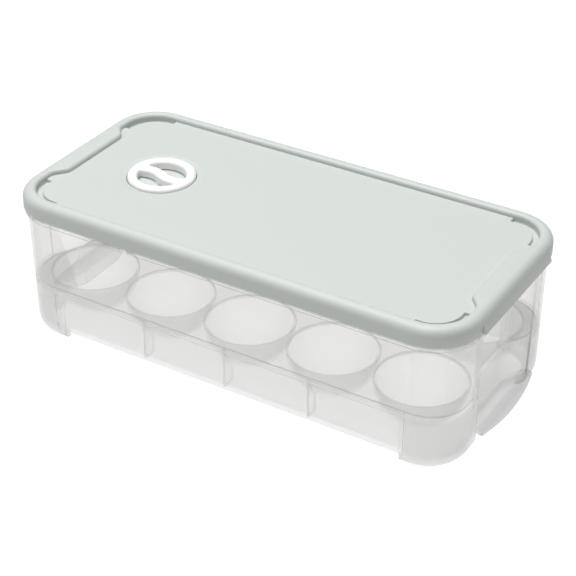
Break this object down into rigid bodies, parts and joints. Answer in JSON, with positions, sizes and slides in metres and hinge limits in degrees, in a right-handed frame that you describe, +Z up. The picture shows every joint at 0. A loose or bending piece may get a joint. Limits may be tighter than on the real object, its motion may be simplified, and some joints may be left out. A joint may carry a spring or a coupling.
{
  "type": "egg storage container",
  "caption": "Translucent stacking egg box with a lift-out tray of round egg cups and a pale green snap-over lid with a turning vent dial.",
  "frame": {"origin": "on the table, under the middle of the box, at the height of the feet's soles", "axes": "+X along the length, away from the vent dial, +Y across the width towards the back, +Z up through the lid"},
  "size_m": [0.298, 0.1384, 0.092],
  "materials": {
    "clear_box": "translucent moulded polypropylene, satin inside, smooth outside",
    "clear_tray": "translucent moulded polypropylene, smooth",
    "green_lid": "pale sage green moulded plastic, fine matte grain on the panel, satin border",
    "white_dial": "white moulded plastic, satin",
    "silicone": "soft translucent white silicone rubber"
  },
  "bodies": {
    "box": {"box": "clear_box"},
    "tray": {"egg_tray": "clear_tray"},
    "lid": {"lid": "green_lid", "lid_seal": "silicone"},
    "dial": {"vent_dial": "white_dial", "vent_pads": "silicone", "dial_clip": "white_dial"}
  },
  "joints": [
    {"name": "lid_lift", "type": "slide", "parent": "box", "child": "lid", "axis": [0, 0, 1], "range_m": [0, 0.2]},
    {"name": "tray_lift", "type": "slide", "parent": "box", "child": "tray", "axis": [0, 0, 1], "range_m": [0, 0.09]},
    {"name": "dial_turn", "type": "hinge", "parent": "lid", "child": "dial", "pos_m": [-0.0826, 0, 0.084], "axis": [0, 0, 1], "range_deg": [0, 90]}
  ],
  "couplings": [
    {"joint": "tray_lift", "follows": "lid_lift", "ratio": 0.45}
  ]
}
